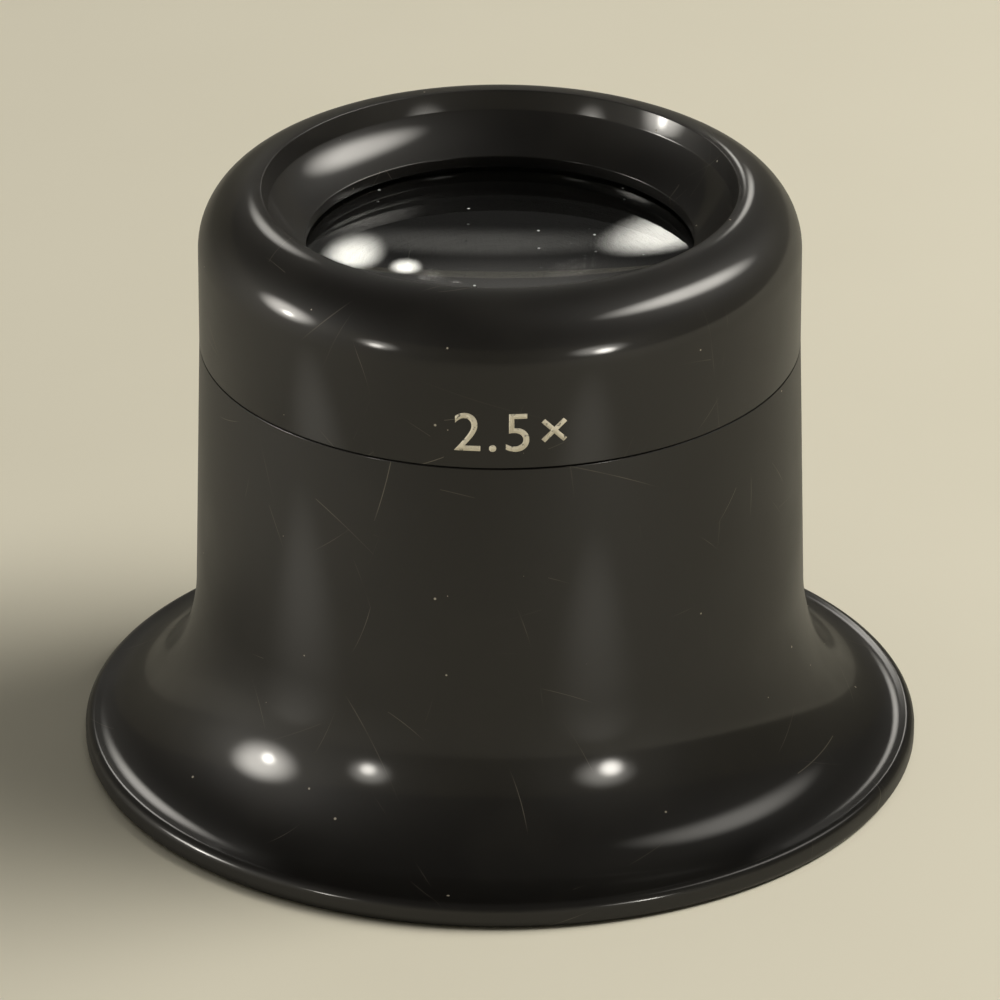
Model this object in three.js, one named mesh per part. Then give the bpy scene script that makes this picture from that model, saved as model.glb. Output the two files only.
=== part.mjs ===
// A watchmaker's eye loupe that stands on its bell, +Z up, in millimetres.
// The origin is the centre of the flat rim that rests on the bench or against the brow.
// Three pieces come apart on the bench: the eyecup barrel, the lens and the screw ring that clamps it.
import * as THREE from "three";

// Eyecup barrel, one moulding of black plastic
const bellRadius = 18; // outer radius of the rim that the eye socket grips
const rimThickness = 1.15; // height of the rim's outer edge
const rimRound = 0.4; // rounding of that edge
const bellHeight = 8; // height at which the bell has run out into the barrel
const barrelDraft = 0.26; // how much wider the barrel is at its foot than at the shoulder, to leave the mould
const shoulderHeight = 18.95; // height of the shoulder that the ring is screwed down to
const wall = 1.7; // wall of the bell and of the foot of the barrel
const edgeBreak = 0.12; // small chamfer that takes the sharpness off an edge

// Lens, a symmetrical biconvex glass
const lensRadius = 11.2;
const lensEdge = 1.5; // thickness between the two ground rims
const groundRim = 1.3; // width of the flat ring ground round each face, which the plastic holds
const lensBevel = 0.15; // safety bevel of the glass edge
const focalLength = 101.6; // four inches
const crownGlassIndex = 1.523;

// Screw ring, with the rounded lip and the dish that leads down to the glass
const ringHeight = 7;
const ringWall = 1.195; // plastic outside the root of the ring's thread
const lipRound = 2.72; // the lip is a quarter round from the wall to the mouth
const mouthStep = 0.83; // steep drop inside the mouth, before the dish
const mouthLean = 0.24; // how far that drop leans in, to leave the mould
const dishDepth = 2.3; // from the lip down to the edge of the aperture
const dishSag = 0.11; // how far the dish is hollower than a straight cone
const flangeLap = 1.65; // how far the foot of the dish covers the clear glass
const apertureEdge = 0.5; // thickness of the plastic at the aperture

// Thread, right-handed. The neck and the ring each carry one tooth, wound about two turns
const pitch = 0.5;
const toothDepthShare = 0.55; // radial height of a tooth, as a share of the pitch
const toothCrestShare = 0.2; // width of its crest along the axis
const toothRootShare = 0.7; // width of its root
const fadeShare = 0.2; // share of a turn in which a tooth rises to its full height
const threadRelief = 0.15; // plain neck left under the first tooth
const threadRunout = 0.06; // least plain wall left beyond the last tooth
const threadLead = 0.3; // chamfer where the two threads start into each other

// Clearances of the fits
const seamGap = 0.05; // the ring clamps the glass before it meets the shoulder
const seatClearance = 0.1; // between the ground rims and their seats
const lensClearance = 0.15; // round the edge of the glass
const threadClearance = 0.1; // between the crest of one thread and the root of the other

// Fineness of the facets
const facets = 72; // steps in one turn
const bellSteps = 9;
const roundSteps = 3;
const lipSteps = 6;
const faceSteps = 6;

// Sizes that follow from the sizes above
const ringBottom = shoulderHeight + seamGap;
const ringTop = ringBottom + ringHeight;
const seatRadius = lensRadius - groundRim; // inner edge of both lens seats
const faceRadius = 2 * (crownGlassIndex - 1) * focalLength; // lens maker's formula, thin lens
const apertureRadius = seatRadius - flangeLap; // clear glass that shows in the dish
const clampPlane = ringTop - dishDepth - apertureEdge - faceRise(apertureRadius); // seat in the ring
const glassTop = clampPlane - seatClearance;
const glassBottom = glassTop - lensEdge;
const neckTop = glassBottom - seatClearance; // seat on the barrel
const pocketRadius = lensRadius + lensClearance; // the glass passes the ring's thread
const toothDepth = pitch * toothDepthShare;
const neckRootRadius = pocketRadius - threadClearance;
const ringRootRadius = neckRootRadius + toothDepth + threadClearance;
const barrelTopRadius = ringRootRadius + ringWall; // the ring and the barrel are flush at the seam
const barrelFootRadius = barrelTopRadius + barrelDraft;
const mouthRadius = barrelTopRadius - lipRound; // inner edge of the lip
const rootHalf = (pitch * toothRootShare) / 2;
const crestHalf = (pitch * toothCrestShare) / 2;
const neckTooth = shoulderHeight + threadRelief + rootHalf; // where its middle starts
const ringTooth = neckTooth + pitch / 2; // starts midway between two turns of the neck's

// Height of a glass face above its ground rim, at a distance from the axis.
function faceRise(radius) {
  const centreBelow = Math.sqrt(faceRadius ** 2 - seatRadius ** 2);
  return Math.sqrt(faceRadius ** 2 - radius ** 2) - centreBelow;
}

// Points of a quarter ellipse. From and to are angles in quarter turns, counted from the +r direction.
function ellipseArc(centre, halfWidth, halfHeight, from, to, steps) {
  const points = [];
  for (let i = 0; i <= steps; i += 1) {
    const angle = (from + ((to - from) * i) / steps) * (Math.PI / 2);
    const r = centre.x + halfWidth * Math.cos(angle);
    const z = centre.y + halfHeight * Math.sin(angle);
    points.push(new THREE.Vector2(r, z));
  }
  return points;
}

function at(radius, height) {
  return new THREE.Vector2(radius, height);
}

// The rows of points that draw a thread on a plain wall, from the wall's foot up: one row for each edge of
// the tooth's section on each turn. They run up with the thread, so each row meets the row of the next turn
// at the seam. Spare rows under the first turn close the seam, and lie folded on the foot elsewhere.
const toothRows = [
  { height: -rootHalf, crest: 0 },
  { height: -crestHalf, crest: 1 },
  { height: crestHalf, crest: 1 },
  { height: rootHalf, crest: 0 },
];

// Moves the rows after the wall's foot onto the thread. Outward is 1 for a tooth that stands out from the
// axis and -1 for one that stands in from a bore. Start and end are heights of the tooth's middle.
function windThread(lathe, rowsInAll, thread) {
  const { footRow, foot, head, start, steps, outward } = thread;
  const places = lathe.attributes.position;
  const turns = steps / facets;
  const put = (column, row, radius, height) => {
    const angle = (column / facets) * 2 * Math.PI;
    const index = column * rowsInAll + row;
    places.setXYZ(index, radius * Math.sin(angle), height, radius * Math.cos(angle));
  };
  const putTooth = (column, row, turn, edge) => {
    const rise = Math.min(turn, turns - turn, fadeShare) / fadeShare;
    const radius = foot.x + outward * toothDepth * rise * edge.crest;
    put(column, row, radius, start + turn * pitch + edge.height);
  };
  for (let column = 0; column <= facets; column += 1) {
    for (let whole = 0; whole * facets <= steps; whole += 1) {
      const step = whole * facets + column;
      toothRows.forEach((edge, i) => {
        const row = footRow + 1 + (whole + 1) * toothRows.length + i;
        if (step <= steps) putTooth(column, row, step / facets, edge);
        else put(column, row, head.x, head.y);
      });
    }
  }
  toothRows.forEach((edge, i) => putTooth(facets, footRow + 1 + i, 0, edge));
}

// A piece turned about +Z from a profile in (radius, height), with a thread on one of its walls if asked.
// A profile that starts and ends on the axis is whole as it is, and any other is closed on itself.
function turned(profile, wallFoot, start, outward) {
  const points = profile[0].x > 0 ? [...profile, profile[0]] : [...profile];
  const thread = wallFoot && { start, outward, foot: wallFoot, footRow: profile.indexOf(wallFoot) };
  if (thread) {
    thread.head = points[thread.footRow + 1];
    const last = thread.head.y - threadRunout - rootHalf;
    thread.steps = Math.floor(((last - start) / pitch) * facets);
    const spareAndWholeTurns = 2 + Math.floor(thread.steps / facets);
    const rows = new Array(spareAndWholeTurns * toothRows.length).fill(wallFoot);
    points.splice(thread.footRow + 1, 0, ...rows);
  }
  const lathe = new THREE.LatheGeometry(points, facets);
  if (thread) windThread(lathe, points.length, thread);
  if (THREE.ShapeUtils.area(points) < 0) lathe.index.array.reverse();
  lathe.computeVertexNormals();
  return lathe.rotateX(Math.PI / 2);
}

// The eyecup barrel. The bell is a quarter ellipse that leaves the barrel straight down and runs out flat
// at the rim, and its inside is the same curve set in by the wall.
function barrelGeometry() {
  const bellWidth = bellRadius - rimRound - barrelFootRadius;
  const bellDrop = bellHeight - rimThickness;
  const bellCentre = at(bellRadius - rimRound, bellHeight);
  const bell = ellipseArc(bellCentre, bellWidth, bellDrop, 3, 2, bellSteps);
  const inside = bell.map((p) => {
    const normal = at((p.x - bellCentre.x) / bellWidth ** 2, (p.y - bellCentre.y) / bellDrop ** 2);
    return p.clone().addScaledVector(normal.normalize(), wall);
  });
  const standing = inside.filter((p) => p.y > edgeBreak);
  const sunk = inside[inside.length - standing.length - 1];
  const share = (standing[0].y - edgeBreak) / (standing[0].y - sunk.y);
  const innerRim = standing[0].x + share * (sunk.x - standing[0].x);
  const neckFoot = at(neckRootRadius, shoulderHeight);
  const profile = [
    at(innerRim + edgeBreak, 0),
    ...ellipseArc(at(bellRadius - rimRound, rimRound), rimRound, rimRound, -1, 0, roundSteps),
    ...ellipseArc(at(bellRadius - rimRound, rimThickness - rimRound), rimRound, rimRound, 0, 1, roundSteps),
    ...bell.slice(1),
    at(barrelTopRadius, shoulderHeight - edgeBreak),
    at(barrelTopRadius - edgeBreak, shoulderHeight),
    neckFoot,
    at(neckRootRadius, neckTop - threadLead),
    at(neckRootRadius - threadLead, neckTop),
    at(seatRadius, neckTop),
    ...standing.reverse(),
    at(innerRim, edgeBreak),
  ];
  return turned(profile, neckFoot, neckTooth, 1);
}

// The lens. Each face is a spherical cap that ends in a flat ground rim.
function lensGeometry() {
  const cap = [];
  for (let i = 0; i <= faceSteps; i += 1) {
    const radius = (seatRadius * i) / faceSteps;
    cap.push(at(radius, faceRise(radius)));
  }
  const profile = [
    ...cap.map((p) => at(p.x, glassBottom - p.y)),
    at(lensRadius - lensBevel, glassBottom),
    at(lensRadius, glassBottom + lensBevel),
    at(lensRadius, glassTop - lensBevel),
    at(lensRadius - lensBevel, glassTop),
    ...cap.map((p) => at(p.x, glassTop + p.y)).reverse(),
  ];
  return turned(profile);
}

// The screw ring. The lip is rounded over, drops a little way into the mouth and then runs down a
// shallow dish to the aperture, whose underside clears the swell of the glass.
function ringGeometry() {
  const dishTop = at(mouthRadius - mouthLean, ringTop - mouthStep);
  const dishFoot = at(apertureRadius, ringTop - dishDepth);
  const bow = at(dishFoot.y - dishTop.y, dishTop.x - dishFoot.x).normalize();
  const middle = dishTop.clone().lerp(dishFoot, 1 / 2).addScaledVector(bow, -2 * dishSag);
  const dish = new THREE.QuadraticBezierCurve(dishFoot, middle, dishTop).getPoints(faceSteps);
  const lipCentre = at(barrelTopRadius - lipRound, ringTop - lipRound);
  const boreFoot = at(ringRootRadius, ringBottom + threadLead);
  const profile = [
    at(ringRootRadius + threadLead, ringBottom),
    boreFoot,
    at(ringRootRadius, neckTop),
    at(pocketRadius, neckTop),
    at(pocketRadius, clampPlane),
    at(seatRadius, clampPlane),
    at(apertureRadius, ringTop - dishDepth - apertureEdge),
    ...dish,
    ...ellipseArc(lipCentre, lipRound, lipRound, 1, 0, lipSteps),
    at(barrelTopRadius, ringBottom + edgeBreak),
    at(barrelTopRadius - edgeBreak, ringBottom),
  ];
  return turned(profile, boreFoot, ringTooth, -1);
}

function piece(name, geometry, look) {
  const mesh = new THREE.Mesh(geometry, new THREE.MeshStandardMaterial(look));
  mesh.name = name;
  return mesh;
}

const blackPlastic = { color: 0x0c0b0a, roughness: 0.24, metalness: 0 };
const crownGlass = { color: 0xe8f0ee, roughness: 0.02, metalness: 0, transparent: true, opacity: 0.35 };

const loupe = new THREE.Group();
loupe.add(piece("eyecup_barrel", barrelGeometry(), blackPlastic));
loupe.add(piece("lens", lensGeometry(), crownGlass));
loupe.add(piece("screw_ring", ringGeometry(), blackPlastic));

export default loupe;
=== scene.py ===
# %% [markdown]
# # A watchmaker's eye loupe
#
# On the bench this loupe comes apart into three pieces: a black moulded barrel whose bell sits in
# the eye socket, a biconvex glass, and a ring that screws down on the barrel's neck and clamps the
# glass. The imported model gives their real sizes. This script draws each of them again with a fine
# surface, gives them their finish, and lights them as a small studio would.
#
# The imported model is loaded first, and nothing that it holds is moved.

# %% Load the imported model
import functools
import math

import bpy
import numpy as np
from mathutils import Matrix, Vector


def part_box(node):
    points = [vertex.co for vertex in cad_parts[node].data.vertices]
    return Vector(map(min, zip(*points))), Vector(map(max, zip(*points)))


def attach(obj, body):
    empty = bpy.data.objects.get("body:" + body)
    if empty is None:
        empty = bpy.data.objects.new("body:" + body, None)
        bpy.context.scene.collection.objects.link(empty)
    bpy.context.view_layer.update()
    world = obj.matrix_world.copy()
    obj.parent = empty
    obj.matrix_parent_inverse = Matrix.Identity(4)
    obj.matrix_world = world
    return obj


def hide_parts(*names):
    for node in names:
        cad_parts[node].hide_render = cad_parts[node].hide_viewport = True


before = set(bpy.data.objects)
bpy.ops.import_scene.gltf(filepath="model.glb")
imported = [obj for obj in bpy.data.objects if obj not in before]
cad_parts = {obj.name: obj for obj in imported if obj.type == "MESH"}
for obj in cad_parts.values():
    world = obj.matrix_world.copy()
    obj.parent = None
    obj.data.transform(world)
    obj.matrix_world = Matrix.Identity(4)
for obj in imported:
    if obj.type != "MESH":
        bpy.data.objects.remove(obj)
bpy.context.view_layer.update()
MM = 0.001  # Blender works in metres, and this object is easier to think of in millimetres

# %% [markdown]
# ## Sizes
#
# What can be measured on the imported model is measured, so the fine pieces follow it. The packed
# boxes give the outer sizes: the bell and the neck from the barrel, the lip and the seam from the
# ring, the width from the glass. The sizes that a box can't give, such as walls, roundings and the
# thread, are named here once.

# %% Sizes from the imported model
_, barrel_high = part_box("eyecup_barrel")
ring_low, ring_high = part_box("screw_ring")
_, glass_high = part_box("lens")

bell_radius = barrel_high.x
neck_top = barrel_high.z
ring_radius = ring_high.x
ring_foot = ring_low.z
lip_height = ring_high.z
glass_radius = glass_high.x
print("bell", round(2 * bell_radius / MM, 2), "mm across")
print("ring", round(2 * ring_radius / MM, 2), "mm across")

# %% Sizes that the boxes don't give
wall = 1.7 * MM
rim_thickness = 1.15 * MM
rim_round = 0.4 * MM
bell_height = 8 * MM
barrel_draft = 0.26 * MM
seam_gap = 0.05 * MM
edge_round = 0.04 * MM  # every moulded edge is a little round, and that is what makes it glint

lip_round = 2.72 * MM
mouth_radius = 10.1 * MM
mouth_step = 0.83 * MM
mouth_lean = 0.24 * MM
dish_depth = 2.3 * MM
dish_sag = 0.11 * MM
aperture_radius = 8.25 * MM
aperture_edge = 0.5 * MM

ground_rim = 1.3 * MM
glass_edge = 1.5 * MM
glass_bevel = 0.15 * MM
lens_clearance = 0.15 * MM
seat_clearance = 0.1 * MM
face_radius = 106.27 * MM

pitch = 0.5 * MM
tooth_depth = 0.275 * MM
tooth_crest = 0.1 * MM
tooth_root = 0.35 * MM
thread_lead = 0.3 * MM
thread_clearance = 0.1 * MM
thread_relief = 0.15 * MM
neck_turns = 3.083
ring_turns = 3.194

# %% Sizes that follow from the others
shoulder = ring_foot - seam_gap
seat_radius = glass_radius - ground_rim
glass_foot = neck_top + seat_clearance
glass_head = glass_foot + glass_edge
ring_seat = glass_head + seat_clearance
pocket_radius = glass_radius + lens_clearance
neck_radius = pocket_radius - thread_clearance
bore_radius = neck_radius + tooth_depth + thread_clearance
foot_radius = ring_radius + barrel_draft
thread_start = shoulder + thread_relief + tooth_root / 2
print("shoulder", round(shoulder / MM, 2), "mm up")
print("neck", round(2 * neck_radius / MM, 2), "mm across")

# %% [markdown]
# ## Turning a piece from its section
#
# All three pieces were made round: two in a turned steel mould, and one on a grinding spindle.
# Stacking circles ring by ring would give the same form, but a section that is drawn once and spun
# about the axis is shorter and can be checked against a drawing. So a small plane is merged into a
# single point, the point is extruded along the section, the sharp corners are bevelled while they
# are still corners of a wire, and the wire is spun.

# %% Helpers to draw a section
TURN = 256  # steps in one turn, fine enough for a clean highlight
SAME_PLACE = MM / 1000  # points nearer than this are one point
SMOOTH_ANGLE = math.radians(30)


def only(piece):
    """Leaves one object selected and active, because an operator acts on all that is selected."""
    bpy.ops.object.select_all(action="DESELECT")
    piece.select_set(True)
    bpy.context.view_layer.objects.active = piece


def arc(centre, width, height, start, end, steps):
    """Points of an ellipse's arc. Start and end are in quarter turns from the outward direction."""
    points = []
    for i in range(steps + 1):
        angle = (start + (end - start) * i / steps) * math.pi / 2
        points.append((centre[0] + width * math.cos(angle), centre[1] + height * math.sin(angle)))
    return points


def draw_section(name, points):
    """Extrudes a point along the section, given as (radius, height), in the plane of X and Z."""
    bpy.ops.object.select_all(action="DESELECT")
    bpy.ops.mesh.primitive_plane_add(size=MM, location=(points[0][0], 0, points[0][1]))
    piece = bpy.context.object
    piece.name = piece.data.name = name
    bpy.ops.object.transform_apply(location=True)
    bpy.ops.object.mode_set(mode="EDIT")
    bpy.ops.mesh.select_mode(type="VERT")
    bpy.ops.mesh.select_all(action="SELECT")
    bpy.ops.mesh.merge(type="CENTER")
    for before, after in zip(points, points[1:]):
        step = (after[0] - before[0], 0, after[1] - before[1])
        bpy.ops.mesh.extrude_vertices_move(TRANSFORM_OT_translate={"value": step})
    bpy.ops.mesh.select_all(action="SELECT")
    bpy.ops.mesh.remove_doubles(threshold=SAME_PLACE)
    bpy.ops.mesh.select_all(action="DESELECT")
    bpy.ops.object.mode_set(mode="OBJECT")
    return piece


# %% Helpers to round and spin a section
SHARP_ANGLE = math.radians(20)
ROUNDING_STEPS = 4


def round_corners(piece, radius):
    """Bevels each corner of the wire that turns by more than the sharp angle."""
    mesh = piece.data
    neighbours = {v.index: [] for v in mesh.vertices}
    for a, b in (edge.vertices for edge in mesh.edges):
        neighbours[a].append(b)
        neighbours[b].append(a)
    for v in mesh.vertices:
        ways = [(mesh.vertices[n].co - v.co).normalized() for n in neighbours[v.index]]
        v.select = len(ways) == 2 and ways[0].angle(-ways[1]) > SHARP_ANGLE
    bpy.ops.object.mode_set(mode="EDIT")
    bpy.ops.mesh.bevel(affect="VERTICES", offset=radius, segments=ROUNDING_STEPS)
    bpy.ops.object.mode_set(mode="OBJECT")


def spin(piece):
    """Spins the wire about the axis, closes the seam and the poles, and turns its faces out."""
    only(piece)
    bpy.ops.object.mode_set(mode="EDIT")
    bpy.ops.mesh.select_all(action="SELECT")
    bpy.ops.mesh.spin(steps=TURN, angle=2 * math.pi, center=(0, 0, 0), axis=(0, 0, 1))
    bpy.ops.mesh.select_all(action="SELECT")
    bpy.ops.mesh.remove_doubles(threshold=SAME_PLACE)
    bpy.ops.mesh.normals_make_consistent(inside=False)
    bpy.ops.object.mode_set(mode="OBJECT")
    bpy.ops.object.shade_smooth_by_angle(angle=SMOOTH_ANGLE)
    print(piece.name, len(piece.data.vertices), "vertices,", len(piece.data.polygons), "faces")
    return piece


# %% [markdown]
# ## The barrel
#
# The barrel is one moulding. Its bell leaves the tube straight down and runs out flat at the rim,
# which is a quarter of an ellipse. The inside is the same curve set in by the wall, so the plastic
# cools evenly. Above the bell the tube narrows slightly, because the core has to leave the mould,
# and ends in a shoulder and a neck. A cylinder with its foot pulled outwards would look alike from
# afar, but the highlights on the bell show its curve, so the curve is drawn point by point.

# %% Draw the barrel's section
BELL_STEPS = 40
RIM_STEPS = 8
rim_centre = bell_radius - rim_round
bell_centre = (rim_centre, bell_height)
bell_width = rim_centre - foot_radius
bell_drop = bell_height - rim_thickness
bell = arc(bell_centre, bell_width, bell_drop, 3, 2, BELL_STEPS)


def set_in(point):
    """The point of the inner curve that lies a wall's thickness under a point of the bell."""
    out, up = point[0] - bell_centre[0], point[1] - bell_centre[1]
    normal = Vector((out / bell_width**2, up / bell_drop**2)).normalized()
    return (point[0] + wall * normal.x, point[1] + wall * normal.y)


inner_bell = [p for p in map(set_in, bell) if p[1] > 0]
inner_rim = (inner_bell[0][0] + inner_bell[0][1], 0)
barrel_section = [
    inner_rim,
    *arc((rim_centre, rim_round), rim_round, rim_round, -1, 0, RIM_STEPS),
    *arc((rim_centre, rim_thickness - rim_round), rim_round, rim_round, 0, 1, RIM_STEPS),
    *bell[1:],
    (ring_radius, shoulder),
    (neck_radius, shoulder),
    (neck_radius, neck_top - thread_lead),
    (neck_radius - thread_lead, neck_top),
    (seat_radius, neck_top),
    *reversed(inner_bell),
    inner_rim,
]
barrel = draw_section("turned_barrel", barrel_section)
round_corners(barrel, edge_round)
spin(barrel)

# %% [markdown]
# ## The glass
#
# The glass is ground from both sides to the same radius, edged round, and given a flat ground rim
# on each face, which is all that the plastic touches. A sphere squashed flat would bulge too, but
# with no true radius and no rim. The section has both, and its two poles close on the axis.

# %% Draw the glass
FACE_STEPS = 32


def face_rise(radius):
    """How far a face stands above its ground rim, at a distance from the axis."""
    below = math.sqrt(face_radius**2 - seat_radius**2)
    return math.sqrt(face_radius**2 - radius**2) - below


face_radii = [seat_radius * i / FACE_STEPS for i in range(FACE_STEPS + 1)]
glass_section = [
    *((r, glass_foot - face_rise(r)) for r in face_radii),
    (glass_radius - glass_bevel, glass_foot),
    (glass_radius, glass_foot + glass_bevel),
    (glass_radius, glass_head - glass_bevel),
    (glass_radius - glass_bevel, glass_head),
    *((r, glass_head + face_rise(r)) for r in reversed(face_radii)),
]
glass = spin(draw_section("ground_glass", glass_section))

# %% [markdown]
# ## The screw ring
#
# The ring's lip is a quarter round, so that it does not scratch the work. Inside the mouth a short
# steep step leads to a dish, and the dish to the glass. Under its flange are the seat and the
# pocket of the glass, and below them the bore that carries the thread. A torus on a tube would
# give the lip and nothing else, so the ring is drawn and spun in one piece, like the barrel.

# %% Draw the ring's section
DISH_STEPS = 16
LIP_STEPS = 24
dish_top = Vector((mouth_radius - mouth_lean, lip_height - mouth_step))
dish_foot = Vector((aperture_radius, lip_height - dish_depth))
dish_normal = Vector((dish_foot.y - dish_top.y, dish_top.x - dish_foot.x)).normalized()
dish = []
for i in range(DISH_STEPS + 1):
    share = i / DISH_STEPS
    sag = 4 * dish_sag * share * (1 - share)
    dish.append(tuple(dish_foot.lerp(dish_top, share) - sag * dish_normal))

lip_centre = (ring_radius - lip_round, lip_height - lip_round)
ring_section = [
    (bore_radius + thread_lead, ring_foot),
    (bore_radius, ring_foot + thread_lead),
    (bore_radius, neck_top),
    (pocket_radius, neck_top),
    (pocket_radius, ring_seat),
    (seat_radius, ring_seat),
    (aperture_radius, lip_height - dish_depth - aperture_edge),
    *dish,
    *arc(lip_centre, lip_round, lip_round, 1, 0, LIP_STEPS),
    (ring_radius, ring_foot),
    (bore_radius + thread_lead, ring_foot),
]
ring = draw_section("turned_ring", ring_section)
round_corners(ring, edge_round)
spin(ring)

# %% [markdown]
# ## The thread
#
# The neck and the ring each carry one tooth that climbs half a millimetre in a turn. A texture
# could fake it, but it shows in the seam when the ring is unscrewed, so it is cut in the mesh. A
# small plane is set up at the start of the thread as the tooth's section, the Screw modifier winds
# it up, and both ends sink into the wall over a fifth of a turn, as a moulded thread's do. A union
# then makes it one skin with its wall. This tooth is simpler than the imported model's, which widens
# towards its root: it is a plain fin, as thick as the crest.

# %% Helpers to wind a tooth
TOOTH_SINK = 0.05 * MM  # how far its root lies under the wall, so that the union has a hold
TOOTH_FADE = 0.2  # share of a turn in which a tooth rises to its full height


def tooth_plane(name, wall_radius, outward, height):
    """A plane at the front of the wall, as deep as a tooth and as thick as its crest."""
    bpy.ops.object.select_all(action="DESELECT")
    depth = tooth_depth + TOOTH_SINK
    middle = wall_radius + outward * (tooth_depth - TOOTH_SINK) / 2
    place = (0, -middle, height)
    upright = (math.pi / 2, 0, math.pi / 2)
    bpy.ops.mesh.primitive_plane_add(size=tooth_root, location=place, rotation=upright)
    tooth = bpy.context.object
    tooth.name = name
    tooth.scale = (depth / tooth_root, 1, 1)
    bpy.ops.object.transform_apply(location=True, rotation=True, scale=True)
    bpy.ops.object.mode_set(mode="EDIT")
    bpy.ops.mesh.select_mode(type="VERT")
    bpy.ops.mesh.select_all(action="SELECT")
    bpy.ops.transform.resize(value=(1, 1, tooth_crest / tooth_root), center_override=place)
    bpy.ops.mesh.delete(type="ONLY_FACE")
    bpy.ops.object.mode_set(mode="OBJECT")
    return tooth


def wind(tooth, turns):
    """Winds the section up the axis and closes its two ends."""
    screw = tooth.modifiers.new("wind", "SCREW")
    screw.angle = 2 * math.pi * turns
    screw.screw_offset = pitch * turns
    screw.steps = screw.render_steps = round(TURN * turns)
    bpy.ops.object.modifier_apply(modifier=screw.name)
    bpy.ops.object.mode_set(mode="EDIT")
    bpy.ops.mesh.select_all(action="SELECT")
    bpy.ops.mesh.fill_holes(sides=4)
    bpy.ops.mesh.select_all(action="SELECT")
    bpy.ops.mesh.normals_make_consistent(inside=False)
    bpy.ops.mesh.select_all(action="DESELECT")
    bpy.ops.object.mode_set(mode="OBJECT")


def sink_ends(tooth, wall_radius, turns):
    """Draws the crest in to the wall towards both ends.

    The winding keeps the four points of a section together, so a point's number tells its turn.
    """
    places = np.array([v.co for v in tooth.data.vertices])
    reach = np.hypot(places[:, 0], places[:, 1])
    crest = np.abs(reach - wall_radius) > TOOTH_SINK * 2
    step = np.arange(len(places)) // 4
    turn = step / step.max() * turns
    rise = np.clip(np.minimum(turn, turns - turn) / TOOTH_FADE, 0, 1)
    sunk = wall_radius + (reach - wall_radius) * rise
    for v, is_crest, new, old in zip(tooth.data.vertices, crest, sunk, reach):
        if is_crest:
            v.co.x *= new / old
            v.co.y *= new / old


# %% Join the two teeth to their walls
def join_thread(piece, wall_radius, outward, height, turns):
    """Winds a tooth, fades its ends and makes it one skin with the wall that carries it."""
    tooth = tooth_plane(piece.name + "_tooth", wall_radius, outward, height)
    wind(tooth, turns)
    sink_ends(tooth, wall_radius, turns)
    only(piece)
    union = piece.modifiers.new("thread", "BOOLEAN")
    union.operation = "UNION"
    union.solver = "EXACT"
    union.object = tooth
    bpy.ops.object.modifier_apply(modifier=union.name)
    bpy.data.objects.remove(tooth)
    bpy.ops.object.shade_smooth_by_angle(angle=SMOOTH_ANGLE)
    print(piece.name, "with its thread:", len(piece.data.polygons), "faces")


join_thread(barrel, neck_radius, 1, thread_start, neck_turns)
join_thread(ring, bore_radius, -1, thread_start + pitch / 2, ring_turns)

# %% [markdown]
# ## The mark
#
# A loupe carries its magnification in pale ink on the ring. Flat letters wrapped round the ring
# would stand off it between their corners. So the letters start as a text object, become a solid
# slab that stands in the wall, and are cut out of a thin sleeve of ink: that follows the round wall
# exactly.

# %% Print the mark on the ring
INK = 0.015 * MM  # how far the ink stands out of the wall, and reaches into it
MARK_SIZE = 2.5 * MM
MARK_DROP = 5.45 * MM  # how far the middle of the letters lies under the lip
MARK_SHIFT = 0.5 * MM  # how far it lies to the right of the front
SLEEVE_REACH = 1.5 * MM  # how far the sleeve goes past that middle, up and down

bpy.ops.object.select_all(action="DESELECT")
bpy.ops.object.text_add(rotation=(math.pi / 2, 0, 0))
letters = bpy.context.object
letters.name = "power_mark"
letters.data.body = "2.5×"
letters.data.size = MARK_SIZE
letters.data.space_character = 1.12
letters.data.align_x = "CENTER"
letters.data.align_y = "CENTER"
letters.data.extrude = ring_radius / 2
mark_middle = lip_height - MARK_DROP
bpy.ops.object.convert(target="MESH")
bpy.ops.transform.translate(value=(MARK_SHIFT, -ring_radius, mark_middle))
bpy.ops.object.transform_apply(location=True, rotation=True, scale=True)

sleeve_section = [
    (ring_radius - INK, mark_middle - SLEEVE_REACH),
    (ring_radius + INK, mark_middle - SLEEVE_REACH),
    (ring_radius + INK, mark_middle + SLEEVE_REACH),
    (ring_radius - INK, mark_middle + SLEEVE_REACH),
    (ring_radius - INK, mark_middle - SLEEVE_REACH),
]
sleeve = spin(draw_section("ink_sleeve", sleeve_section))
only(letters)
cut = letters.modifiers.new("ink", "BOOLEAN")
cut.operation = "INTERSECT"
cut.solver = "EXACT"
cut.object = sleeve
bpy.ops.object.modifier_apply(modifier=cut.name)
bpy.data.objects.remove(sleeve)
print("mark:", len(letters.data.polygons), "faces")

# %% [markdown]
# ## Shader maths as plain expressions
#
# A finish is a small sum of masks: how scratched, how dusty, how smeared. Wiring it by hand hides
# the sum, so a class wraps a node's output and lets Python's own operators add the Math nodes. Any
# other node comes from `add`.

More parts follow.
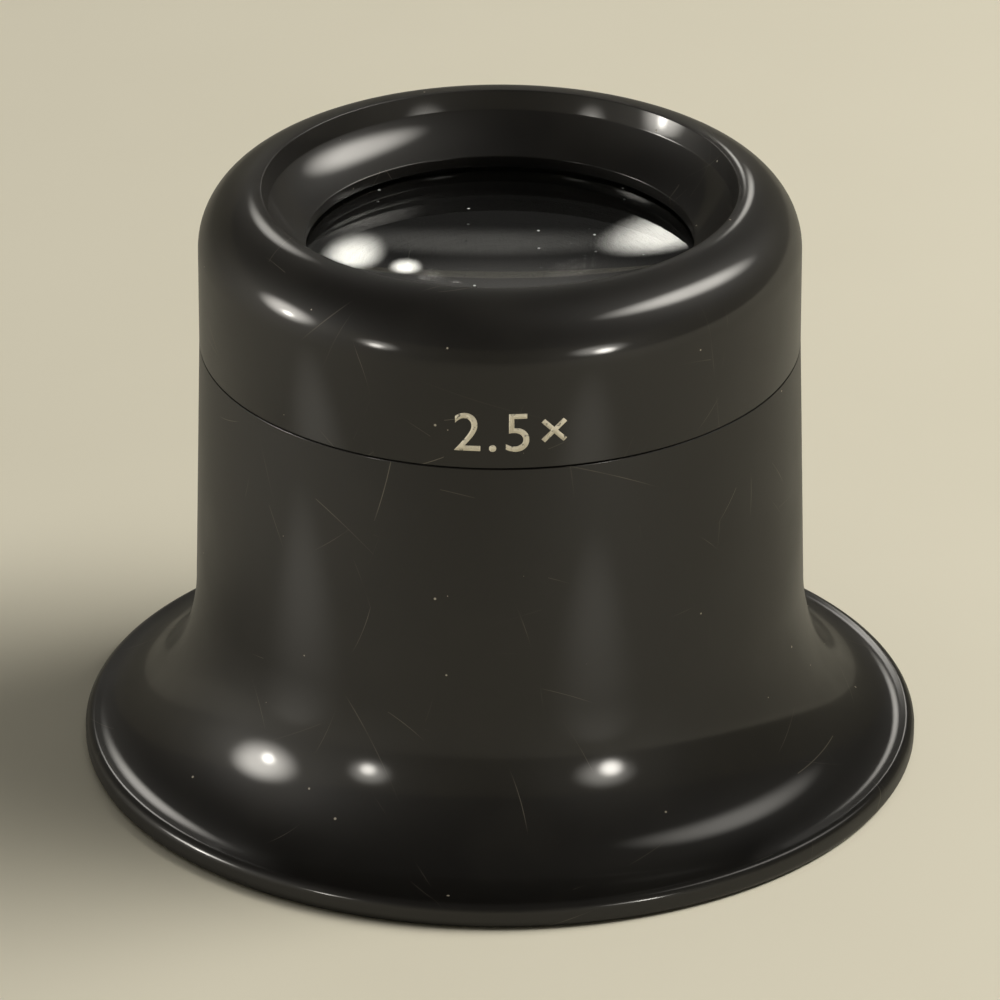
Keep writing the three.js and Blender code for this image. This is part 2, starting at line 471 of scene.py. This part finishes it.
# %% The Wire class
class Wire:
    """An output of a node that Python can reckon with: 1 - mask adds a Math node that subtracts."""

    def __init__(self, tree, socket=None):
        self.tree = tree
        self.socket = socket

    def add(self, kind, inputs=(), output=0, **settings):
        """Adds a node: its settings first, then a value or a wire for each socket.

        What comes back is the output to go on from.
        """
        node = self.tree.nodes.new("ShaderNode" + kind)
        for name, value in settings.items():
            setattr(node, name, value)
        for name, value in dict(inputs).items():
            if isinstance(value, Wire):
                self.tree.links.new(value.socket, node.inputs[name])
            else:
                node.inputs[name].default_value = value
        return Wire(self.tree, node.outputs[output])

    def other(self, output):
        """Another output of the same node."""
        return Wire(self.tree, self.socket.node.outputs[output])

    def connect(self, socket):
        """Links this wire to a socket of a shader."""
        self.tree.links.new(self.socket, socket)

    def math(self, operation, first, second=0.0):
        return self.add("Math", {0: first, 1: second}, operation=operation)

    def __add__(self, other):
        return self.math("ADD", self, other)

    def __sub__(self, other):
        return self.math("SUBTRACT", self, other)

    def __rsub__(self, other):
        return self.math("SUBTRACT", other, self)

    def __mul__(self, other):
        return self.math("MULTIPLY", self, other)

    def __truediv__(self, other):
        return self.math("DIVIDE", self, other)

    def __rtruediv__(self, other):
        return self.math("DIVIDE", other, self)

    __radd__ = __add__
    __rmul__ = __mul__

    def larger(self, other):
        return self.math("MAXIMUM", self, other)

    def step(self, start, end):
        """0 before start, 1 after end, and a smooth rise between them. End may be the lower one."""
        low, high, first, last = (start, end, 0.0, 1.0) if start < end else (end, start, 1.0, 0.0)
        inputs = {"Value": self, "From Min": low, "From Max": high, "To Min": first, "To Max": last}
        return self.add("MapRange", inputs, interpolation_type="SMOOTHSTEP")

    def colours(self, low, high):
        """The colour low where this wire is 0 and high where it is 1. Either may be a wire."""
        full = [c if isinstance(c, Wire) else (*c, 1.0) for c in (low, high)]
        return self.add("Mix", {0: self, 6: full[0], 7: full[1]}, output=2, data_type="RGBA")


# %% [markdown]
# ## Where a point lies on a turned piece
#
# Scratches and dust lie in the surface, so their pattern needs the surface's own flat coordinates:
# how far round, and how far along the section. Unwrapping would leave a seam to hide. Here the
# first comes from the angle, and the second is measured on the drawn section and kept on the mesh
# as an attribute, which stays with the piece wherever it moves.

# %% Measure the way along the section
def measure_along(piece, section):
    """Stores for each point how far along the section it lies, in millimetres."""
    points = np.array(section)
    starts, ways = points[:-1], np.diff(points, axis=0)
    lengths = np.hypot(ways[:, 0], ways[:, 1])
    before = np.concatenate([[0], np.cumsum(lengths)[:-1]])
    places = np.array([v.co for v in piece.data.vertices])
    flat = np.column_stack([np.hypot(places[:, 0], places[:, 1]), places[:, 2]])
    offset = flat[:, None, :] - starts[None]
    share = np.clip((offset * ways).sum(2) / lengths**2, 0, 1)
    gap = np.linalg.norm(offset - share[:, :, None] * ways, axis=2)
    nearest = gap.argmin(1)
    rows = np.arange(len(flat))
    along = (before[nearest] + share[rows, nearest] * lengths[nearest]) / MM
    stored = piece.data.attributes.new("along", "FLOAT", "POINT")
    stored.data.foreach_set("value", along.astype(np.float32))
    print(piece.name, "section is", round(float(lengths.sum() / MM), 1), "mm long")


measure_along(barrel, barrel_section)
measure_along(ring, ring_section)

# %% [markdown]
# ## Black plastic
#
# The moulding is polished black, with the faint ripple of a moulded skin, smudges, hairline
# scratches from the bench, and dust. A picture of scratches would show its pixels this close, so
# every mark is reckoned in millimetres on the surface.
#
# The shine has two parts: a clear one that mirrors the lamps, and a wide weak one under it. The
# Principled shader's coat is the first, and its base is the second. The coat bends light more than
# real plastic does and weighs less. That gives the same highlights where the surface faces the
# camera, and keeps the sides, which mirror the pale table, dark.

# %% Patterns that the finishes share
def place_in_mm(tree):
    """The point on the object, in millimetres."""
    objects = Wire(tree).add("TexCoord", output="Object")
    return objects.add("VectorMath", {0: objects, 3: 1 / MM}, operation="SCALE")


def axes(place, count):
    """The first parts of a vector: x, y and z, or fewer."""
    return [place.add("SeparateXYZ", {0: place}, output=i) for i in range(count)]


def surface_plane(place):
    """How far round and how far along the section a point lies, as a flat vector in millimetres."""
    x, y = axes(place, 2)
    round_angle = place.math("ARCTAN2", x, 0 - y)
    along = place.add("Attribute", output="Fac", attribute_name="along")
    return place.add("CombineXYZ", {0: round_angle * (ring_radius / MM), 1: along})


def noise(place, scale, detail):
    """Cloudy noise with a grain of about 1 / scale millimetres."""
    return place.add("TexNoise", {"Vector": place, "Scale": scale, "Detail": detail})


# %% Scratches and dust
LINE_BEND = 0.3
LINE_GONE, LINE_FULL = 0.7, 0.2  # where a line has run out and where it is whole, in cells


def scratches(plane, spacing, width, share):
    """Hairlines, one at most to a cell. Each has its own angle, bend and strength."""
    cell = {"Vector": plane, "Scale": 1 / spacing}
    centre = plane.add("TexVoronoi", cell, output="Position", voronoi_dimensions="2D")
    lots = [plane.add("SeparateColor", {0: centre.other("Color")}, output=i) for i in range(3)]
    offset = plane.add("VectorMath", {0: plane, 1: centre}, operation="SUBTRACT")
    angle = {"Vector": offset, "Angle": lots[0] * math.pi}
    way, off = axes(plane.add("VectorRotate", angle, rotation_type="Z_AXIS"), 2)
    bend = way * way * (lots[1] - 0.5) * (LINE_BEND / spacing)
    near = plane.math("ABSOLUTE", off + bend + (lots[2] - 0.5) * (spacing / 2))
    reach = plane.math("ABSOLUTE", way) / spacing
    drawn = lots[1].step(1 - share, 1 - share / 2)
    return near.step(width, width / 3) * reach.step(LINE_GONE, LINE_FULL) * drawn


def dust(plane, spacing, size, density):
    """Round specks, one at most to a cell, in sizes that differ from speck to speck."""
    cell = {"Vector": plane, "Scale": 1 / spacing}
    near = plane.add("TexVoronoi", cell, output="Distance", voronoi_dimensions="2D")
    lot = plane.add("SeparateColor", {0: near.other("Color")}, output="Blue")
    reach = lot.step(1 - density, 1) * (size / spacing)
    return (reach - near).step(0, size / spacing / 4)


# %% Make the black plastic
HAIRLINES = [(4.0, 0.024, 0.5), (2.3, 0.018, 0.4), (7.0, 0.030, 0.6)]  # spacing, width, share
PLASTIC_SPECKS = (2.3, 0.06, 0.2)  # spacing and size in millimetres, share of the cells
PLASTIC_INDEX = 1.49
COAT_INDEX = 2.0
DEEP_BLACK = (0.0036, 0.0031, 0.0025)
PALER_BLACK = (0.0056, 0.0050, 0.0042)
SMUDGE_GREY = (0.011, 0.010, 0.008)
SCRATCH_GREY = (0.11, 0.10, 0.08)
DUST_OUTSIDE = (0.30, 0.27, 0.22)
DUST_INSIDE = (0.20, 0.18, 0.15)


def new_finish(name):
    """An empty material, its shader's sockets, and the point on the object in millimetres."""
    material = bpy.data.materials.new(name)
    material.use_nodes = True
    shader = material.node_tree.nodes["Principled BSDF"].inputs
    return material, shader, place_in_mm(material.node_tree)


def black_plastic(name, inside=False):
    """Polished black plastic outside, or the matt skin of the bore inside."""
    material, shader, place = new_finish(name)
    plane = surface_plane(place)
    smudge = noise(place, 0.16, 3).step(0.42, 0.66)
    grain = noise(place, 9, 1)
    specks = dust(plane, *PLASTIC_SPECKS)
    hazed = (smudge * 0.5).colours(grain.colours(DEEP_BLACK, PALER_BLACK), SMUDGE_GREY)
    shader["IOR"].default_value = PLASTIC_INDEX
    if inside:
        stretched = place.add("VectorMath", {0: place, 1: (0.4, 0.4, 14)}, operation="MULTIPLY")
        tool_marks = noise(stretched, 1, 2)
        specks.colours(hazed, DUST_INSIDE).connect(shader["Base Color"])
        (grain * 0.2 + 0.5).connect(shader["Roughness"])
        height = tool_marks * 0.5 + grain * 0.3
        depth = 0.02 * MM
    else:
        handled = noise(place, 0.22, 2).step(0.45, 0.62)
        lines = functools.reduce(Wire.larger, [scratches(plane, *one) for one in HAIRLINES])
        lines = lines * handled
        worn = lines.larger(specks)
        scratched = (lines * 0.8).colours(hazed, SCRATCH_GREY)
        specks.colours(scratched, DUST_OUTSIDE).connect(shader["Base Color"])
        (smudge * 0.06 + grain * 0.03 + worn * 0.15 + 0.5).connect(shader["Roughness"])
        ((1 - worn * 0.8) * (0.19 - smudge * 0.025)).connect(shader["Coat Weight"])
        shader["Specular IOR Level"].default_value = 0.2
        shader["Coat Roughness"].default_value = 0.09
        shader["Coat IOR"].default_value = COAT_INDEX
        height = noise(place, 0.5, 1) * 0.5 + grain * 0.015
        depth = 0.005 * MM
    bump = place.add("Bump", {"Height": height, "Distance": depth, "Strength": 1.0})
    bump.connect(shader["Normal"])
    print(name, "made of", len(material.node_tree.nodes), "nodes")
    return material


gloss = black_plastic("gloss_black_plastic")
matt = black_plastic("matt_black_plastic", inside=True)

# %% [markdown]
# ## Two finishes on one moulding
#
# The outside is polished, and the bore, the underside of the bell and the pocket of the glass are
# matt, so that no light strays into the eye. A painted mask could say where, but the border has to
# be as sharp as the edge that it runs along. So each face is given one finish or the other.

# %% Dress the barrel and the ring
DOWNWARD = -0.05  # a face whose normal is lower than this looks at the table


def dress(piece, is_within):
    """Gives a piece its two finishes. Faces are chosen by their place and their way of facing."""
    piece.data.materials.append(gloss)
    piece.data.materials.append(matt)
    for face in piece.data.polygons:
        radius = math.hypot(face.center.x, face.center.y)
        face.material_index = int(is_within(radius, face.center.z, face.normal))
    matt_faces = sum(face.material_index for face in piece.data.polygons)
    print(piece.name, "has", matt_faces, "matt faces")


def inside_barrel(radius, height, normal):
    """The bore, and under the bell the faces that look down, short of the outer skin."""
    outer = foot_radius if height > bell_height else bell_radius
    return radius < outer - 0.6 * wall and (normal.z < DOWNWARD or height > bell_height)


def inside_ring(radius, height, normal):
    """All that lies under the flange and inside the wall."""
    flange = lip_height - dish_depth - aperture_edge / 2
    return radius < ring_radius - edge_round and height < flange


dress(barrel, inside_barrel)
dress(ring, inside_ring)

# %% [markdown]
# ## Glass and ink
#
# The faces are polished and the ground rims are frosted. Two materials on two sets of faces would
# do, but the dust on the glass is frosted too. So a Mix Shader chooses between the two finishes,
# by the distance from the axis and by the specks. The ink is a warm white, and a little of it has
# worn away.

# %% Make the glass
GLASS_INDEX = 1.523
GLASS_SPECKS = (1.9, 0.07, 0.25)  # as the plastic's


def crown_glass():
    material, shader, place = new_finish("crown_glass")
    nodes = material.node_tree.nodes
    shader["Base Color"].default_value = (0.97, 0.99, 0.98, 1)
    shader["Transmission Weight"].default_value = 1.0
    shader["IOR"].default_value = GLASS_INDEX
    smear = noise(place, 0.3, 3).step(0.5, 0.75)
    (smear * 0.02 + 0.004).connect(shader["Roughness"])
    polished = Wire(material.node_tree, nodes["Principled BSDF"].outputs[0])
    frost = {"Base Color": (0.55, 0.57, 0.56, 1), "Roughness": 0.65}
    frosted = place.add("BsdfPrincipled", frost)
    x, y = axes(place, 2)
    radius = place.math("SQRT", x * x + y * y)
    rim = radius.step(seat_radius / MM, (seat_radius + 2 * edge_round) / MM)
    chosen = rim.larger(dust(place, *GLASS_SPECKS))
    both = place.add("MixShader", {0: chosen, 1: polished, 2: frosted})
    both.connect(nodes["Material Output"].inputs["Surface"])
    return material


glass.data.materials.append(crown_glass())
print(glass.name, "is now", glass.data.materials[0].name)

# %% Make the ink
INK_DARK, INK_PALE = (0.46, 0.42, 0.32), (0.62, 0.57, 0.45)
INK_GONE = (0.06, 0.055, 0.045)


def white_ink():
    material, shader, place = new_finish("white_ink")
    thin = noise(place, 5, 4).step(0.56, 0.7)
    mottle = noise(place, 2.5, 2)
    ink = mottle.colours(INK_DARK, INK_PALE)
    thin.colours(ink, INK_GONE).connect(shader["Base Color"])
    (mottle * 0.2 + 0.4).connect(shader["Roughness"])
    return material


letters.data.materials.append(white_ink())
print(letters.name, "is now", letters.data.materials[0].name)

# %% [markdown]
# ## Which body each piece moves with
#
# The ring turns and rises on its neck, the glass turns with it, and the mark is printed on the
# ring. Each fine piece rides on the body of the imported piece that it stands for, so the poses need
# no work of their own.

# %% Put the pieces on their bodies
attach(barrel, "barrel")
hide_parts("eyecup_barrel")
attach(glass, "glass")
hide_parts("lens")
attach(ring, "ring")
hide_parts("screw_ring")
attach(letters, "ring")
print("pieces:", ", ".join(piece.name for piece in (barrel, glass, ring, letters)))

# %% [markdown]
# ## The table
#
# Black gloss shows nothing but its surroundings, so the surroundings matter as much as the finish.
# The loupe stands on a pale sheet that sweeps up all round, so that no edge shows behind it. A
# plane and a wall would leave a line. The sweep ends low, so that the barrel mirrors the dark over
# it and stays black, and the sheet is dull, because a shiny one would mirror the lamps in the
# views from the side.

# %% Make the pale sweep
SWEEP_FLAT = 0.55
SWEEP_ROUND = 0.25
SWEEP_TOP = 0.3
SHEET_DARK, SHEET_PALE = (0.69, 0.66, 0.55), (0.73, 0.70, 0.59)
sweep_section = [
    (0, 0),
    *((SWEEP_FLAT * (i / 12), 0) for i in range(1, 12)),
    *arc((SWEEP_FLAT, SWEEP_ROUND), SWEEP_ROUND, SWEEP_ROUND, -1, 0, 24),
    (SWEEP_FLAT + SWEEP_ROUND, SWEEP_TOP),
]
sweep = spin(draw_section("pale_sweep", sweep_section))


def pale_sheet():
    material, shader, place = new_finish("pale_sheet")
    noise(place, 0.05, 3).colours(SHEET_DARK, SHEET_PALE).connect(shader["Base Color"])
    (noise(place, 3, 2) * 0.1 + 0.7).connect(shader["Roughness"])
    shader["Specular IOR Level"].default_value = 0
    return material


sweep.data.materials.append(pale_sheet())

# %% [markdown]
# ## The lamps
#
# The highlights tell where the lamps stood. On an upright tube a lamp shows at half its own angle
# round from the camera, so each bright spot at the foot of the barrel gives one lamp's direction.
# The crescent in the far side of the dish and the one on the near side of the lip belong to one
# broad panel, high on the right. Each lamp fades towards its edges, so it ends softly in the gloss.
#
# The lamps hang low and would burn out the table, so they light the loupe alone. Only the broad
# panel lights the table as well, and casts the shadow. It shows weaker on the barrel than on the
# ring, so the barrel has a dimmer panel of its own in the same place. Two dim strips that lie on
# the table stand for the glare of a polished one. The barrel mirrors them as two upright bands.

# %% Helpers to hang a lamp
LAMP_COLOUR = (1, 0.96, 0.88)
LAMP_MIDDLE = (0.5, 0.5, 0)  # as shares of its sides
LAMP_FULL = 0.1  # how far from its middle a lamp is even. It fades out at half of its side
GLARE_MIDDLE = (0.5, 0.4, 0)
GLARE_FULL = 0.05
GLARE_LIFT = 0.5 * MM


def only_for(name, pieces):
    """A collection to link a lamp to, so that it lights these pieces and nothing else."""
    lit = bpy.data.collections.new(name)
    for piece in pieces:
        lit.objects.link(piece)
    return lit


def way_to(azimuth, elevation):
    """The direction of a lamp. Azimuth is counted from the camera to the right, in degrees."""
    turn, lift = math.radians(azimuth), math.radians(elevation)
    level = math.cos(lift)
    return Vector((math.sin(turn) * level, -math.cos(turn) * level, math.sin(lift)))


def hang_lamp(name, place, way, side, width, height, brightness, middle, full, lit):
    """A cloth lamp that shines against the way, with its width along side."""
    bpy.ops.object.light_add(type="AREA", location=place)
    lamp = bpy.context.object
    lamp.name = name
    lamp.rotation_euler = Matrix((side, way.cross(side), way)).transposed().to_euler()
    lamp.data.shape = "RECTANGLE"
    lamp.data.size = width
    lamp.data.size_y = height
    lamp.data.energy = brightness * math.pi * width * height
    lamp.data.color = LAMP_COLOUR
    lamp.data.use_nodes = True
    nodes = lamp.data.node_tree.nodes
    cloth = Wire(lamp.data.node_tree).add("NewGeometry", output="Parametric")
    off = cloth.add("VectorMath", {0: cloth, 1: middle}, output="Value", operation="DISTANCE")
    faded = off.step(0.5, full).colours((0, 0, 0), (1, 1, 1))
    faded.connect(nodes["Emission"].inputs["Color"])
    lamp.visible_camera = False
    lamp.light_linking.receiver_collection = lit
    print(name, round(lamp.data.energy, 4), "W")


# %% Hang the lamps round the loupe
loupe_only = only_for("loupe_only", [barrel, glass, ring, letters])
ring_and_table = only_for("ring_and_table", [ring, glass, letters, sweep])
barrel_only = only_for("barrel_only", [barrel])
PANEL_LEAN = way_to(126, 30) - way_to(62, 60)
BACK_LEAN = way_to(200.4, 41) - way_to(192.3, 27.1)


def softbox(
    name, azimuth, elevation, distance, width, height, brightness, along=None, lit=loupe_only
):
    """Hangs a lamp that faces the loupe, with its width level or along a given way."""
    way = way_to(azimuth, elevation)
    side = Vector((0, 0, 1)).cross(way) if along is None else along - along.dot(way) * way
    side.normalize()
    place = Vector((0, 0, lip_height / 2)) + way * distance
    hang_lamp(name, place, way, side, width, height, brightness, LAMP_MIDDLE, LAMP_FULL, lit)


softbox("left_panel", -86, 12.5, 0.40, 0.23, 0.17, 25)
softbox("left_bulb", -84, 10, 0.39, 0.05, 0.05, 65)
softbox("left_lamp", -45.5, 7.5, 0.40, 0.055, 0.055, 36)
softbox("front_lamp", 38, 5.5, 0.40, 0.075, 0.075, 52)
softbox("right_panel", 98, 46, 0.42, 0.54, 0.17, 21, PANEL_LEAN, ring_and_table)
softbox("bell_panel", 98, 46, 0.42, 0.54, 0.17, 5, PANEL_LEAN, barrel_only)
softbox("back_right", 167, 26, 0.45, 0.046, 0.16, 11)
softbox("back_small", 172, 21.5, 0.45, 0.024, 0.08, 11)
softbox("back_left", -164, 34, 0.45, 0.16, 0.090, 11, BACK_LEAN)
softbox("back_glow", 178, 33, 0.45, 0.26, 0.10, 0.6)
softbox("left_halo", -45, 9, 0.40, 0.13, 0.11, 9)
softbox("front_halo", 36, 8, 0.40, 0.18, 0.13, 9)


# %% Lay the glare on the table
def glare(name, azimuth, width, start, reach, brightness):
    """Lays a dim strip where the barrel mirrors it to the camera, as a polished table's glare."""
    way = way_to(azimuth, 0)
    foot = way_to(azimuth / 2, 0) * ring_radius
    place = foot + way * (start + reach / 2) + Vector((0, 0, GLARE_LIFT))
    down = Vector((0, 0, -1))
    side = way.cross(down)
    middle, full = GLARE_MIDDLE, GLARE_FULL
    hang_lamp(name, place, down, side, width, reach, brightness, middle, full, loupe_only)


glare("left_glare", -78, 0.020, 0.008, 0.054, 1.0)
glare("front_glare", 35, 0.019, 0.008, 0.054, 0.8)

# %% [markdown]
# ## The table's own light
#
# One wide lamp overhead lights the sheet evenly. It lights nothing else, because the glass and the
# dish would mirror it as a white disc. A bright world would light the sheet too, but it would turn
# all the black plastic grey, so the world is nearly dark.

# %% Light the table alone
TABLE_LAMP_HEIGHT = 1.3
TABLE_LAMP_WIDTH = 1.8
TABLE_BRIGHTNESS = 0.42
WORLD_BRIGHTNESS = 0.06
WARM = (1, 0.97, 0.90)

bpy.ops.object.light_add(type="AREA", location=(0, 0, TABLE_LAMP_HEIGHT))
table_light = bpy.context.object
table_light.name = "table_light"
table_light.data.shape = "DISK"
table_light.data.size = TABLE_LAMP_WIDTH
table_light.data.energy = TABLE_BRIGHTNESS * math.pi * math.pi * (TABLE_LAMP_WIDTH / 2) ** 2
table_light.data.color = WARM
table_light.visible_camera = False
table_light.light_linking.receiver_collection = only_for("table_only", [sweep])

world = bpy.data.worlds.new("studio")
bpy.context.scene.world = world
world.use_nodes = True
world.node_tree.nodes["Background"].inputs["Color"].default_value = (*WARM, 1)
world.node_tree.nodes["Background"].inputs["Strength"].default_value = WORLD_BRIGHTNESS
print(table_light.name, round(table_light.data.energy, 2), "W")

# %% [markdown]
# ## The camera
#
# The outline of the loupe in the picture fits a camera that stands 412 mm away and 26.5 degrees
# above the table. The lens is long, so that the small object fills the frame from there. Blender's
# usual film curve softens what is bright, so the standard view is set in its place.

# %% Set up the camera
CAMERA_DISTANCE = 0.412
CAMERA_LIFT = math.radians(26.5)
CAMERA_AIM = Vector((0, 0, 10 * MM))
FRAME_MIDDLE = Vector((0, 0, 11.2 * MM))
FRAME_WIDTH = 43 * MM  # how much of the table the frame takes in, at the loupe

bpy.ops.object.camera_add()
camera = bpy.context.object
camera.name = "camera"
back = Vector((0, -math.cos(CAMERA_LIFT), math.sin(CAMERA_LIFT)))
camera.location = CAMERA_AIM + back * CAMERA_DISTANCE
sight = FRAME_MIDDLE - camera.location
camera.rotation_euler = sight.to_track_quat("-Z", "Y").to_euler()
camera.data.lens = camera.data.sensor_width * sight.length / FRAME_WIDTH
camera.data.clip_start = 0.05
camera.data.clip_end = 10
bpy.context.scene.camera = camera
bpy.context.scene.view_settings.view_transform = "Standard"
bpy.context.scene.cycles.max_bounces = 8
bpy.context.scene.cycles.diffuse_bounces = 2
print("lens", round(camera.data.lens), "mm")
